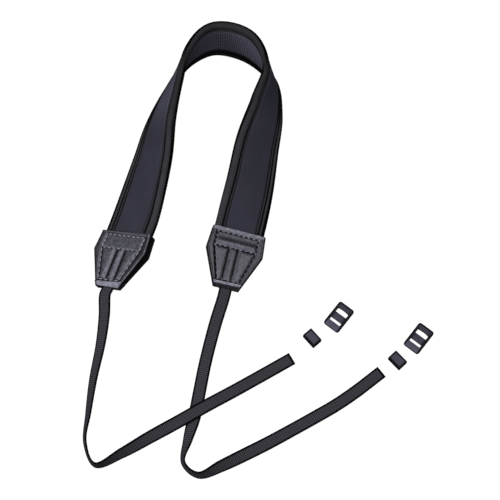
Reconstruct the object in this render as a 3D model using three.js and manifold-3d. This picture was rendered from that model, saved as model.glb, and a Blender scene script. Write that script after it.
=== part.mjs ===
// Neck strap for binoculars, laid out on a flat surface with its fittings slipped off.
// A padded band bends round the neck, a leather tab closes each of its ends,
// and a woven tail leaves each tab.
// A keeper loop and a two-slot slider lie beyond the cut end of each tail.
// Millimetres, +Z up, +Y from the tails towards the top of the neck loop.

import * as THREE from 'three';
import Module from 'manifold-3d';
import { mergeVertices } from 'three/addons/utils/BufferGeometryUtils.js';

// Fineness of the curves
const SPLINE_TENSION = 0.5;
const ARC_DIVISIONS = 600;
const CORNER_STEPS = 4;
const RELIEF_STEPS = 2;

// Clearances
const LAYER_GAP = 0.42;
const FIT_GAP = 0.3;

// Padded band: foam and lining held between two folded binding tapes
const PAD_WIDTH = 39.2;
const FOAM_EDGE = 3.4;
const FOAM_CROWN = 1.0;
const LINING_THICKNESS = 0.7;
const LINING_CROWN = 0.4;
const BINDING_WALL = 0.65;
const BINDING_COVER = 6.5;
const BINDING_ROUND = 0.9;
const PAD_STEPS = 66;
const PAD_SPANS = 6;

// Woven tails
const WEB_WIDTH = 10;
const WEB_THICKNESS = 1.3;
const WEB_EDGE = 0.4;
const WEB_STEPS = 72;

// Leather tabs: Y runs from the mouth, at 0, to the end that the tail leaves
const TAB_LENGTH = 46;
const TAB_HALF_MOUTH = 20.9;
const TAB_HALF_WIDEST = 22.3;
const TAB_HALF_END = 10.2;
const TAB_WIDEST_AT = -17;
const TAB_TAPER_FROM = -18;
const TAB_TAPER_TO = -40;
const TAB_HALF_THICK = 4.7;
const TAB_HALF_THIN = 3.1;
const TAB_MOUTH_CORNER = 0.9;
const TAB_SIDE_CORNER = 2;
const TAB_END_CORNER = 1;
const TAB_LIP_ROUND = 1;
const TAB_SHOULDER_ROUND = 4;
const TAB_NECK_ROUND = 3;
const PAD_TUCK = 17;
const WEB_TUCK = 14;

// Raised leather between the seams: one panel near the mouth and three ribs below it
const RELIEF_HEIGHT = 0.7;
const PANEL_HALF_WIDTH = 16.4;
const PANEL_FROM = -4.3;
const PANEL_TO = -14.4;
const PANEL_CORNER = 1.5;
const RIB_FROM = -15.6;
const RIB_TO = -38;
const RIB_CORNER = 1;
const RIB_HALF_FIELD_TOP = 15.6;
const RIB_HALF_FIELD_END = 9.0;
const GROOVE_AT = 3.5;
const GROOVE_HALF = 1.1;

// Keeper loops
const KEEPER_WIDTH = 12.2;
const KEEPER_HEIGHT = 5.8;
const KEEPER_LENGTH = 8.4;
const KEEPER_WALL = 0.9;
const KEEPER_CORNER = 1.1;
const KEEPER_HOLE_CORNER = 0.5;

// Two-slot sliders: Y runs along the slider, away from the cut end
const SLIDER_WIDTH = 14;
const SLIDER_LENGTH = 21.7;
const SLIDER_THICKNESS = 2.4;
const SLIDER_BEVEL = 0.5;
const SLIDER_CORNER = 2;
const BEVEL_STEPS = 2;
const SLOT_LENGTH = 9.6;
const NEAR_SLOT = { from: -5.6, to: -3.2, arch: 0 };
const FAR_SLOT = { from: 2.2, to: 5.7, arch: 0.45 };
const BAR_RISE = 0.5;
const BAR_EDGE = 0.7;
const BAR_CORNER = 0.8;

// Routes of the strap over the surface. Roll 0 lies flat with the outer face up, 90 stands on its edge.
// Each table's rows hold x, y, z and roll in degrees.
const PAD_ROUTE = [
  [-98.5, -7.1, 12.8, 21],
  [-92.8, 8.9, 12.8, 21],
  [-88, 23, 12.8, 21],
  [-82.6, 42.9, 13.5, 27.5],
  [-75.7, 70.4, 15.5, 38.5],
  [-69.9, 99.3, 18.3, 53.5],
  [-60.7, 127.8, 20.1, 69],
  [-49.1, 154.9, 20.3, 86],
  [-28.4, 170.3, 20, 102],
  [-1.1, 163.4, 20, 102],
  [15.1, 139.9, 20.3, 80],
  [13, 111.4, 18.4, 55],
  [5.7, 81.2, 14.5, 35],
  [0.4, 51.2, 11.9, 23],
  [-5, 26.2, 10.1, 9.5],
  [-8.4, 11.6, 9.1, 8],
  [-12.2, -5, 7.9, 8],
];
const WEB_LEFT_ROUTE = [
  [-103.5, -21.2, 12.8, 21],
  [-108.2, -34.4, 12.8, 21],
  [-110.5, -41, 12.7, 21],
  [-110.7, -56, 10.2, 26],
  [-113.2, -77.7, 7, 36],
  [-118.1, -103.6, 4.7, 47],
  [-121.1, -130, 4.8, 60],
  [-122.9, -152, 5.2, 74],
  [-114.6, -169.4, 5.4, 79],
  [-94.6, -159.8, 4.5, 50],
  [-74.2, -147.7, 3.3, 25],
  [-53.5, -136.2, 3.8, 9],
  [-32.9, -124.3, 4, 3],
  [-12.1, -112.4, 2.1, 1],
  [8.6, -100.3, 0.8, 0],
  [32, -86.8, 0.8, 0],
];
const WEB_RIGHT_ROUTE = [
  [-15.6, -19.6, 6.9, -8],
  [-18.7, -33.2, 5.9, -8],
  [-20.8, -42, 5.3, -8],
  [-25.5, -57, 3.4, -1],
  [-30.3, -75, 1.9, 6],
  [-34.5, -93.4, 1.5, 8],
  [-38, -112.3, 1.3, 5],
  [-41.5, -131.2, 1.5, 7],
  [-46.2, -149.7, 3.6, 40],
  [-49.5, -167.4, 5.2, 74],
  [-37.8, -176.9, 5.3, 71],
  [-21, -169.6, 3.7, 36],
  [-3.7, -160.9, 2.2, 15],
  [13.5, -152, 1.3, 5],
  [30.5, -142.6, 0.8, 0],
  [47.4, -133.1, 0.7, 0],
  [64.2, -123.3, 0.7, 0],
  [80.1, -112.4, 0.7, 0],
  [99.7, -97.2, 0.7, 0],
];

// Places of the rigid pieces: the tabs at their mouths, the fittings at their middles, angles in degrees
const TAB_PLACES = {
  tab_left: { x: -92.8, y: 8.9, z: 12.8, heading: -19.6, pitch: 0, roll: -21 },
  tab_right: { x: -8.4, y: 11.6, z: 9.1, heading: -13, pitch: 4, roll: 8 },
};
const KEEPER_PLACES = {
  keeper_left: { x: 47.3, y: -71.5, heading: 41 },
  keeper_right: { x: 111.7, y: -88.9, heading: 43 },
};
const SLIDER_PLACES = {
  slider_left: { x: 68, y: -54.4, heading: 52 },
  slider_right: { x: 128.5, y: -71.3, heading: 52 },
};

// The layout is moved so that the middle of its outline on the surface is the origin
const LAYOUT_SHIFT = { x: -7.3, y: 0.6 };

const UP = new THREE.Vector3(0, 0, 1);
const radians = THREE.MathUtils.degToRad;

const wasm = await Module();
wasm.setup();

// A strap's centre line with a roll at each station. Its frames put a section's x across the strap,
// from the raised edge to the low one where hand is 1, and its y out of the outer face.
class StrapRoute extends THREE.CatmullRomCurve3 {
  constructor(rows, hand) {
    super(rows.map(([x, y, z]) => new THREE.Vector3(x, y, z)), false, 'catmullrom', SPLINE_TENSION);
    const rolls = rows.map(([, , , roll]) => new THREE.Vector3(radians(roll), 0, 0));
    this.rollCurve = new THREE.CatmullRomCurve3(rolls, false, 'catmullrom', SPLINE_TENSION);
    this.hand = hand;
    this.arcLengthDivisions = ARC_DIVISIONS;
  }

  computeFrenetFrames(segments) {
    const frames = { tangents: [], normals: [], binormals: [] };
    for (let i = 0; i <= segments; i++) {
      const t = this.getUtoTmapping(i / segments);
      const tangent = this.getTangent(t);
      const level = new THREE.Vector3().crossVectors(tangent, UP).normalize();
      const rise = new THREE.Vector3().crossVectors(level, tangent);
      const roll = this.rollCurve.getPoint(t).x;
      const across = level.multiplyScalar(this.hand * Math.cos(roll)).addScaledVector(rise, Math.sin(roll));
      const outward = new THREE.Vector3().crossVectors(across, tangent).multiplyScalar(this.hand);
      frames.tangents.push(tangent);
      frames.normals.push(across.multiplyScalar(-this.hand));
      frames.binormals.push(outward);
    }
    return frames;
  }
}

// A closed outline whose corners, given as x, y and setback, are rounded by a short curve
function roundedOutline(corners, path = new THREE.Shape()) {
  const points = corners.map(([x, y]) => new THREE.Vector2(x, y));
  const count = points.length;
  corners.forEach(([x, y, setback], i) => {
    const corner = points[i];
    const towardsLast = points[(i + count - 1) % count].clone().sub(corner).setLength(setback);
    const towardsNext = points[(i + 1) % count].clone().sub(corner).setLength(setback);
    const start = towardsLast.add(corner);
    const end = towardsNext.add(corner);
    if (i === 0) path.moveTo(start.x, start.y);
    else path.lineTo(start.x, start.y);
    path.quadraticCurveTo(x, y, end.x, end.y);
  });
  path.closePath();
  return path;
}

function rectangle(halfWidth, from, to, setback, path) {
  const corners = [[-halfWidth, from], [halfWidth, from], [halfWidth, to], [-halfWidth, to]];
  return roundedOutline(corners.map(([x, y]) => [x, y, setback]), path);
}

function polygon(points) {
  return new THREE.Shape(points.map(([x, y]) => new THREE.Vector2(x, y)));
}

function solidOf(geometry) {
  const bare = geometry.clone();
  bare.deleteAttribute('normal');
  bare.deleteAttribute('uv');
  const merged = mergeVertices(bare);
  const vertProperties = Float32Array.from(merged.attributes.position.array);
  const triVerts = Uint32Array.from(merged.index.array);
  return new wasm.Manifold(new wasm.Mesh({ numProp: 3, vertProperties, triVerts }));
}

function geometryOf(solid) {
  const mesh = solid.getMesh();
  const geometry = new THREE.BufferGeometry();
  geometry.setAttribute('position', new THREE.BufferAttribute(mesh.vertProperties, 3));
  geometry.setIndex(new THREE.BufferAttribute(mesh.triVerts, 1));
  geometry.computeVertexNormals();
  return geometry;
}

// Levels through the band's thickness, measured from the middle of the bound edge
const PAD_HALF_THICK = (FOAM_EDGE + LINING_THICKNESS + 3 * LAYER_GAP) / 2 + BINDING_WALL;
const FOAM_TOP = PAD_HALF_THICK - BINDING_WALL - LAYER_GAP;
const FOAM_BASE = FOAM_TOP - FOAM_EDGE;
const LINING_TOP = FOAM_BASE - LAYER_GAP;
const LINING_BASE = LINING_TOP - LINING_THICKNESS;
const LAYER_HALF = PAD_WIDTH / 2 - BINDING_WALL - LAYER_GAP;
const FACE_HALF = PAD_WIDTH / 2 - BINDING_COVER - LAYER_GAP;

// How a padded face rises between the bindings: share of the half face, share of the crown
const CROWN = [[1, 0], [0.93, 0.65], [0.5, 1]];

function crownPoints(level, height) {
  const right = CROWN.map(([across, rise]) => [FACE_HALF * across, level + height * rise]);
  const left = right.map(([x, y]) => [-x, y]).reverse();
  return [...right, ...left];
}

// The flat joint between foam and lining is cut into short spans, so that both twist alike
function jointPoints(level) {
  const points = [];
  for (let i = 0; i <= PAD_SPANS; i++) {
    points.push([THREE.MathUtils.lerp(-LAYER_HALF, LAYER_HALF, i / PAD_SPANS), level]);
  }
  return points;
}

function foamSection() {
  return polygon([...jointPoints(FOAM_BASE), [LAYER_HALF, FOAM_TOP], ...crownPoints(FOAM_TOP, FOAM_CROWN),
    [-LAYER_HALF, FOAM_TOP]]);
}

function liningSection() {
  const face = crownPoints(LINING_BASE, -LINING_CROWN).reverse();
  return polygon([[-LAYER_HALF, LINING_BASE], ...face, [LAYER_HALF, LINING_BASE],
    ...jointPoints(LINING_TOP).reverse()]);
}

// A tape folded over one edge of the band, with its free edges on both faces; side is 1 or -1
function bindingSection(side) {
  const edge = PAD_WIDTH / 2;
  const inner = edge - BINDING_WALL;
  const free = edge - BINDING_COVER;
  const outside = PAD_HALF_THICK;
  const inside = PAD_HALF_THICK - BINDING_WALL;
  const points = [[free, inside], [inner, inside], [inner, -inside], [free, -inside], [free, -outside],
    [edge - BINDING_ROUND, -outside], [edge, BINDING_ROUND - outside], [edge, outside - BINDING_ROUND],
    [edge - BINDING_ROUND, outside], [free, outside]];
  return polygon(points.map(([x, y]) => [side * x, y]));
}

function webSection() {
  const half = WEB_WIDTH / 2;
  const flat = half - WEB_EDGE;
  const face = WEB_THICKNESS / 2;
  return polygon([[-half, 0], [-flat, -face], [flat, -face], [half, 0], [flat, face], [-flat, face]]);
}

function sweep(section, route, steps) {
  return new THREE.ExtrudeGeometry(section, { steps, extrudePath: route });
}

// Height of the tab's face above its middle, at a distance y from the mouth
function tabFace(y) {
  const share = (TAB_TAPER_FROM - y) / (TAB_TAPER_FROM - TAB_TAPER_TO);
  return THREE.MathUtils.lerp(TAB_HALF_THICK, TAB_HALF_THIN, THREE.MathUtils.clamp(share, 0, 1));
}

// An outline drawn out to a block, with half of its depth on each side of the outline
function prism(outline, depth) {
  const options = { depth, bevelEnabled: false, curveSegments: CORNER_STEPS };
  return new THREE.ExtrudeGeometry(outline, options).translate(0, 0, -depth / 2);
}

// The tab is what its plan and its side view, each drawn out past the other, have in common
function tabBlank() {
  const plan = roundedOutline([
    [-TAB_HALF_MOUTH, 0, TAB_MOUTH_CORNER],
    [-TAB_HALF_WIDEST, TAB_WIDEST_AT, TAB_SIDE_CORNER],
    [-TAB_HALF_END, -TAB_LENGTH, TAB_END_CORNER],
    [TAB_HALF_END, -TAB_LENGTH, TAB_END_CORNER],
    [TAB_HALF_WIDEST, TAB_WIDEST_AT, TAB_SIDE_CORNER],
    [TAB_HALF_MOUTH, 0, TAB_MOUTH_CORNER],
  ]);
  const side = roundedOutline([
    [0, TAB_HALF_THICK, TAB_LIP_ROUND],
    [TAB_TAPER_FROM, TAB_HALF_THICK, TAB_SHOULDER_ROUND],
    [TAB_TAPER_TO, TAB_HALF_THIN, TAB_NECK_ROUND],
    [-TAB_LENGTH, TAB_HALF_THIN, TAB_NECK_ROUND],
    [-TAB_LENGTH, -TAB_HALF_THIN, TAB_NECK_ROUND],
    [TAB_TAPER_TO, -TAB_HALF_THIN, TAB_NECK_ROUND],
    [TAB_TAPER_FROM, -TAB_HALF_THICK, TAB_SHOULDER_ROUND],
    [0, -TAB_HALF_THICK, TAB_LIP_ROUND],
  ]);
  const planBlock = prism(plan, 3 * TAB_HALF_THICK);
  const sideBlock = prism(side, 3 * TAB_HALF_WIDEST);
  const alongY = new THREE.Vector3(0, 1, 0);
  const alongX = new THREE.Vector3(1, 0, 0);
  sideBlock.applyMatrix4(new THREE.Matrix4().makeBasis(alongY, UP, alongX));
  return solidOf(planBlock).intersect(solidOf(sideBlock));
}

// A pillow of leather with rounded edges, laid on the tab's face and rooted in it
function pillow(outline) {
  const geometry = new THREE.ExtrudeGeometry(outline, {
    depth: RELIEF_HEIGHT, bevelThickness: RELIEF_HEIGHT, bevelSize: RELIEF_HEIGHT,
    bevelOffset: -RELIEF_HEIGHT, bevelSegments: BEVEL_STEPS, curveSegments: RELIEF_STEPS });
  geometry.translate(0, 0, -RELIEF_HEIGHT);
  const place = geometry.attributes.position;
  for (let i = 0; i < place.count; i++) {
    place.setZ(i, place.getZ(i) + tabFace(place.getY(i)));
  }
  return solidOf(geometry);
}

function ribOutline(leftTop, rightTop, leftEnd, rightEnd) {
  const corners = [[leftTop, RIB_FROM], [leftEnd, RIB_TO], [rightEnd, RIB_TO], [rightTop, RIB_FROM]];
  return roundedOutline(corners.map(([x, y]) => [x, y, RIB_CORNER]));
}

function leatherTab() {
  const outer = GROOVE_AT + GROOVE_HALF;
  const inner = GROOVE_AT - GROOVE_HALF;
  const reliefs = [
    rectangle(PANEL_HALF_WIDTH, PANEL_TO, PANEL_FROM, PANEL_CORNER),
    ribOutline(-RIB_HALF_FIELD_TOP, -outer, -RIB_HALF_FIELD_END, -outer),
    ribOutline(-inner, inner, -inner, inner),
    ribOutline(outer, RIB_HALF_FIELD_TOP, outer, RIB_HALF_FIELD_END),
  ];
  const padTop = Math.max(PAD_HALF_THICK, FOAM_TOP + FOAM_CROWN) + FIT_GAP;
  const padBase = -PAD_HALF_THICK - FIT_GAP;
  const pocketDepth = PAD_TUCK + FIT_GAP;
  const pocket = new THREE.BoxGeometry(PAD_WIDTH + 2 * FIT_GAP, 2 * pocketDepth, padTop - padBase);
  pocket.translate(0, 0, (padTop + padBase) / 2);
  const slotDepth = WEB_TUCK + FIT_GAP;
  const slot = new THREE.BoxGeometry(WEB_WIDTH + 2 * FIT_GAP, 2 * slotDepth, WEB_THICKNESS + 2 * FIT_GAP);
  slot.translate(0, -TAB_LENGTH, 0);
  let tab = tabBlank();
  for (const relief of reliefs) tab = tab.add(pillow(relief));
  return geometryOf(tab.subtract(solidOf(pocket)).subtract(solidOf(slot)));
}

// An open loop, lying with the tail's way along Y
function keeperLoop() {
  const outline = rectangle(KEEPER_WIDTH / 2, 0, KEEPER_HEIGHT, KEEPER_CORNER);
  const holeHalf = KEEPER_WIDTH / 2 - KEEPER_WALL;
  const holeTop = KEEPER_HEIGHT - KEEPER_WALL;
  outline.holes.push(rectangle(holeHalf, KEEPER_WALL, holeTop, KEEPER_HOLE_CORNER, new THREE.Path()));
  return prism(outline, KEEPER_LENGTH).rotateX(Math.PI / 2);
}

// A slot across the slider, with its far side bowed by arch
function slotOutline({ from, to, arch }) {
  const half = SLOT_LENGTH / 2;
  const path = new THREE.Path();
  path.moveTo(-half, from);
  path.lineTo(half, from);
  path.lineTo(half, to);
  path.quadraticCurveTo(0, to + 2 * arch, -half, to);
  path.closePath();
  return path;
}

function sliderPlate() {
  const outline = rectangle(SLIDER_WIDTH / 2, -SLIDER_LENGTH / 2, SLIDER_LENGTH / 2, SLIDER_CORNER);
  outline.holes.push(slotOutline(NEAR_SLOT), slotOutline(FAR_SLOT));
  const options = {
    depth: SLIDER_THICKNESS - 2 * SLIDER_BEVEL, bevelThickness: SLIDER_BEVEL, bevelSize: SLIDER_BEVEL,
    bevelOffset: -SLIDER_BEVEL, bevelSegments: BEVEL_STEPS, curveSegments: CORNER_STEPS };
  const plate = new THREE.ExtrudeGeometry(outline, options);
  plate.translate(0, 0, SLIDER_BEVEL);
  const barFrom = NEAR_SLOT.to + BAR_EDGE;
  const barTo = FAR_SLOT.from - BAR_EDGE;
  const barOutline = rectangle(SLOT_LENGTH / 2 + BAR_EDGE, barFrom, barTo, BAR_CORNER);
  const bar = new THREE.ExtrudeGeometry(barOutline, options);
  bar.translate(0, 0, SLIDER_BEVEL + BAR_RISE);
  return geometryOf(solidOf(plate).add(solidOf(bar)));
}

const KNIT = new THREE.MeshStandardMaterial({ color: 0x26262d, roughness: 0.85, metalness: 0 });
const MESH_CLOTH = new THREE.MeshStandardMaterial({ color: 0x34363f, roughness: 0.9, metalness: 0 });
const TAPE = new THREE.MeshStandardMaterial({ color: 0x202024, roughness: 0.9, metalness: 0 });
const LEATHER = new THREE.MeshStandardMaterial({ color: 0x2c2b31, roughness: 0.5, metalness: 0 });
const WOVEN = new THREE.MeshStandardMaterial({ color: 0x232326, roughness: 0.85, metalness: 0 });
const MOULDED = new THREE.MeshStandardMaterial({ color: 0x2b2a30, roughness: 0.45, metalness: 0 });

function named(name, geometry, material) {
  const mesh = new THREE.Mesh(geometry, material);
  mesh.name = name;
  return mesh;
}

const strap = new THREE.Group();

const padRoute = new StrapRoute(PAD_ROUTE, 1);
strap.add(
  named('neck_pad', sweep(foamSection(), padRoute, PAD_STEPS), KNIT),
  named('pad_lining', sweep(liningSection(), padRoute, PAD_STEPS), MESH_CLOTH),
  named('binding_outer', sweep(bindingSection(1), padRoute, PAD_STEPS), TAPE),
  named('binding_inner', sweep(bindingSection(-1), padRoute, PAD_STEPS), TAPE),
  named('web_left', sweep(webSection(), new StrapRoute(WEB_LEFT_ROUTE, -1), WEB_STEPS), WOVEN),
  named('web_right', sweep(webSection(), new StrapRoute(WEB_RIGHT_ROUTE, -1), WEB_STEPS), WOVEN),
);

for (const [name, { x, y, z, heading, pitch, roll }] of Object.entries(TAB_PLACES)) {
  const tab = named(name, leatherTab(), LEATHER);
  tab.position.set(x, y, z);
  tab.rotation.set(radians(pitch), radians(roll), radians(heading), 'ZXY');
  strap.add(tab);
}

for (const [name, { x, y, heading }] of Object.entries(KEEPER_PLACES)) {
  const keeper = named(name, keeperLoop(), MOULDED);
  keeper.position.set(x, y, 0);
  keeper.rotation.z = radians(heading - 90);
  strap.add(keeper);
}

for (const [name, { x, y, heading }] of Object.entries(SLIDER_PLACES)) {
  const slider = named(name, sliderPlate(), MOULDED);
  slider.position.set(x, y, 0);
  slider.rotation.z = radians(heading - 90);
  strap.add(slider);
}

strap.position.set(LAYOUT_SHIFT.x, LAYOUT_SHIFT.y, 0);

export default strap;
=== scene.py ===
# Looks of a binocular neck strap, laid out on a pale surface with its fittings slipped off.
# Sizes are in millimetres and angles in degrees until a mesh is made. Meshes are in metres.

import math

import bmesh
import bpy
import numpy as np
from mathutils import Matrix, Vector


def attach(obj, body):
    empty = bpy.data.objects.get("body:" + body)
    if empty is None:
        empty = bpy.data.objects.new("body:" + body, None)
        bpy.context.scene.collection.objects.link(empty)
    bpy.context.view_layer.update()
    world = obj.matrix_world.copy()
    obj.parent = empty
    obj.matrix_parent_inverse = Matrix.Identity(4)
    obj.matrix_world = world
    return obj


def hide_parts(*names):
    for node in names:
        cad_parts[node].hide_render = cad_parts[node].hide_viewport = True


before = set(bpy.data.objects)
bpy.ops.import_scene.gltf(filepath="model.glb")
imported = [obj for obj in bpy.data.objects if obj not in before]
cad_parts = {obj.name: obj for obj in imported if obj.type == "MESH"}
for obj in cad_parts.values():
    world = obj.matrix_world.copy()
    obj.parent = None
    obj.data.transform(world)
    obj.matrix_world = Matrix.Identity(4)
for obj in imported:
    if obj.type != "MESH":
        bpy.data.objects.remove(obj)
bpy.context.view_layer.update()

MM = 0.001
UP = np.array([0.0, 0.0, 1.0])

# The layout is moved so that the middle of its outline on the surface is the origin
LAYOUT_SHIFT = np.array([-7.3, 0.6, 0.0])

# Routes of the strap over the surface: x, y, z and roll
PAD_ROUTE = [
    (-98.5, -7.1, 12.8, 21),
    (-92.8, 8.9, 12.8, 21),
    (-88, 23, 12.8, 21),
    (-82.6, 42.9, 13.5, 27.5),
    (-75.7, 70.4, 15.5, 38.5),
    (-69.9, 99.3, 18.3, 53.5),
    (-60.7, 127.8, 20.1, 69),
    (-49.1, 154.9, 20.3, 86),
    (-28.4, 170.3, 20, 102),
    (-1.1, 163.4, 20, 102),
    (15.1, 139.9, 20.3, 80),
    (13, 111.4, 18.4, 55),
    (5.7, 81.2, 14.5, 35),
    (0.4, 51.2, 11.9, 23),
    (-5, 26.2, 10.1, 9.5),
    (-8.4, 11.6, 9.1, 8),
    (-12.2, -5, 7.9, 8),
]
TAIL_ROUTES = {
    "left": [
        (-103.5, -21.2, 12.8, 21),
        (-108.2, -34.4, 12.8, 21),
        (-110.5, -41, 12.7, 21),
        (-110.7, -56, 10.2, 26),
        (-113.2, -77.7, 7, 36),
        (-118.1, -103.6, 4.7, 47),
        (-121.1, -130, 4.8, 60),
        (-122.9, -152, 5.2, 74),
        (-114.6, -169.4, 5.4, 79),
        (-94.6, -159.8, 4.5, 50),
        (-74.2, -147.7, 3.3, 25),
        (-53.5, -136.2, 3.8, 9),
        (-32.9, -124.3, 4, 3),
        (-12.1, -112.4, 2.1, 1),
        (8.6, -100.3, 0.8, 0),
        (32, -86.8, 0.8, 0),
    ],
    "right": [
        (-15.6, -19.6, 6.9, -8),
        (-18.7, -33.2, 5.9, -8),
        (-20.8, -42, 5.3, -8),
        (-25.5, -57, 3.4, -1),
        (-30.3, -75, 1.9, 6),
        (-34.5, -93.4, 1.5, 8),
        (-38, -112.3, 1.3, 5),
        (-41.5, -131.2, 1.5, 7),
        (-46.2, -149.7, 3.6, 40),
        (-49.5, -167.4, 5.2, 74),
        (-37.8, -176.9, 5.3, 71),
        (-21, -169.6, 3.7, 36),
        (-3.7, -160.9, 2.2, 15),
        (13.5, -152, 1.3, 5),
        (30.5, -142.6, 0.8, 0),
        (47.4, -133.1, 0.7, 0),
        (64.2, -123.3, 0.7, 0),
        (80.1, -112.4, 0.7, 0),
        (99.7, -97.2, 0.7, 0),
    ],
}
ROUTE_DIVISIONS = 80

# Places of the rigid pieces: tabs by their mouths with heading, pitch and roll, fittings with heading
TAB_PLACES = {
    "left": (-92.8, 8.9, 12.8, -19.6, 0, -21),
    "right": (-8.4, 11.6, 9.1, -13, 4, 8),
}
KEEPER_PLACES = {"left": (47.3, -71.5, 41), "right": (111.7, -88.9, 43)}
SLIDER_PLACES = {"left": (68, -54.4, 52), "right": (128.5, -71.3, 52)}

# Camera of the photograph, aimed at the layout's own origin
CAMERA_DISTANCE = 1300
CAMERA_ELEVATION = 72
CAMERA_LENS = 120.7

# Padded band, from its middle: knit and lining show between the tapes' free edges and reach under them
FACE_HALF = 13.6
FACE_EDGE = 11.6
KNIT_LEVEL = 2.0
KNIT_RISE = 1.0
KNIT_CROWN = 0.3
KNIT_SHOULDER = 1.8
KNIT_BASE = -1.1
KNIT_COLUMNS = 79
LINING_LEVEL = -1.95
LINING_RISE = 0.6
LINING_SHOULDER = 2.4
LINING_TOP = -1.3
LINING_COLUMNS = 53
LONG_SWELL = 0.09
SHORT_SWELL = 0.035
LINING_SWELL = 0.6
PAD_STEP = 1.0

# Painted shade on each face in the seam under the tapes: its tone there, and the width over which it fades
KNIT_SEAM_SHADE = (0.05, 0.6)
LINING_SEAM_SHADE = (0.12, 0.9)

# Outer side of a folded tape, from its free edge on one face round to the middle of the band's edge
TAPE_OUTER = [
    (11.9, 2.2),
    (12.0, 2.75),
    (12.5, 2.98),
    (13.1, 2.85),
    (13.8, 2.3),
    (14.5, 2.75),
    (15.4, 3.2),
    (16.6, 3.38),
    (17.8, 3.2),
    (18.7, 2.7),
    (19.3, 1.9),
    (19.55, 1.0),
    (19.6, 0.0),
]
TAPE_INNER = [(18.8, 1.2), (18.0, 2.05), (12.0, 2.05)]
TAPE_DIVISIONS = 5
TAPE_STITCH_AT = 13.8
TAPE_STITCH_LEVEL = 2.4
TAPE_PUCKER = 0.07

# Tone of each tape by distance from the band's middle, with painted shade in the seam and stitched valley.
# From TURN_FROM outwards the tape turns over the edge, and along the legs it has painted shade down its sides
# below a level of its section
TAPE_TONES = {
    1: ([11.8, 12.1, 13.0, 13.3, 14.3, 14.8, 17.6, 18.8], [0.03, 0.8, 0.65, 0.03, 0.03, 1.0, 0.95, 0.8]),
    -1: ([12.7, 13.0, 13.8, 14.1, 15.2, 15.5, 16.4, 17.0], [0.03, 0.85, 0.75, 0.03, 0.03, 1.0, 0.95, 0.04]),
}
TURN_FROM = 16.1
TURN_SHADE_LEVELS = {1: (1.2, 2.0), -1: (2.4, 2.9)}

# Each change along the bend sets in between two rolls of the band. The raised tape has an even tone there,
# painted lighter on its back, with a painted dark rim of shade, and is pulled thinner, and the low tape has
# painted shade
BEND_ROLL = (40, 68)
BEND_TONE = 0.62
BEND_FLAT = 0.65
BEND_BACK_LIGHT = 1.3
RIM_ROLL = (72, 88)
RIM_PAINTED_SHADE = 0.97
THIN_ROLL = (50, 75)
BEND_THIN = 0.12
LOW_ROLL = (42, 58)
LOW_PAINTED_SHADE = 0.85

# The knit before the top of the bend and the lining after it are paler there, as painted highlights where
# light falls on them
KNIT_HIGHLIGHT_ROLL = (46, 68)
KNIT_HIGHLIGHT_END_ROLL = (66, 90)
KNIT_PAINTED_HIGHLIGHT = 1.25
KNIT_HIGHLIGHT_FADE = 10
LINING_HIGHLIGHT_ROLL = (55, 80)
LINING_PAINTED_LIGHT = 1.0
LINING_HIGHLIGHT_FADE = 60

# The low edge is drawn tighter round the foam, so that its free edges and seam lie further out
LOW_SHIFT = 0.9

# Stitches along the tapes, from where the tabs end
STITCH_PITCH = 3.0
STITCH_LENGTH = 2.3
STITCH_RADIUS = 0.24
STITCHED_FROM = 18.4

# Woven tails
TAIL_WIDTH = 10.0
TAIL_HALF_THICK = 0.6
TAIL_RIM = 0.5
TAIL_TUCK = 14
CORD_POINTS = 120
WARP_COLUMNS = 7
WEFT_PITCH = 1.6
YARN_STEPS = 4
WEAVE_HEIGHT = 0.2
EDGE_SHADE_FROM = 3.3
SEALED_LENGTH = 2.0

# Leather tabs: y runs from the mouth, at 0, to the end that the tail leaves
TAB_LENGTH = 46.0
TAB_OUTLINE_Y = [-46.0, -17.0, 0.0]
TAB_OUTLINE_HALF = [10.2, 22.3, 20.9]
TAB_CORNER = 1.5
TAB_THICK_Y = [-46.0, -40.0, -18.0, 0.0]
TAB_THICK_HALF = [2.9, 3.1, 4.7, 4.7]
FIELD_Y = [-40.4, -15.0, -3.8]
FIELD_HALF = [8.7, 16.2, 16.2]
SEAM_TOP = -3.8
SEAM_MIDDLE = -14.9
SEAM_BOTTOM = -40.4
GROOVE_AT = 3.5
GROOVE_HALF = 1.1
FOLD_RISE = 0.9
SEAM_SINK = 0.65
BORDER_RISE = 0.7
MOUTH_RISE = 0.6
EDGE_LINE = 0.2
CREASE_HEIGHT = 0.035
BACK_RISE = 0.5
BACK_RELIEF = 0.3
EDGE_ROUND = 1.0
MOUTH_ROUND = 0.9

# Pockets in a tab for the band and the tail: spread of the opening, depth
BAND_POCKET = ((1.03, 1, 0.9), 17.5)
TAIL_POCKET = ((0.55, 1, 1.1), 15)
POCKET_WALL = 1.0
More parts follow.
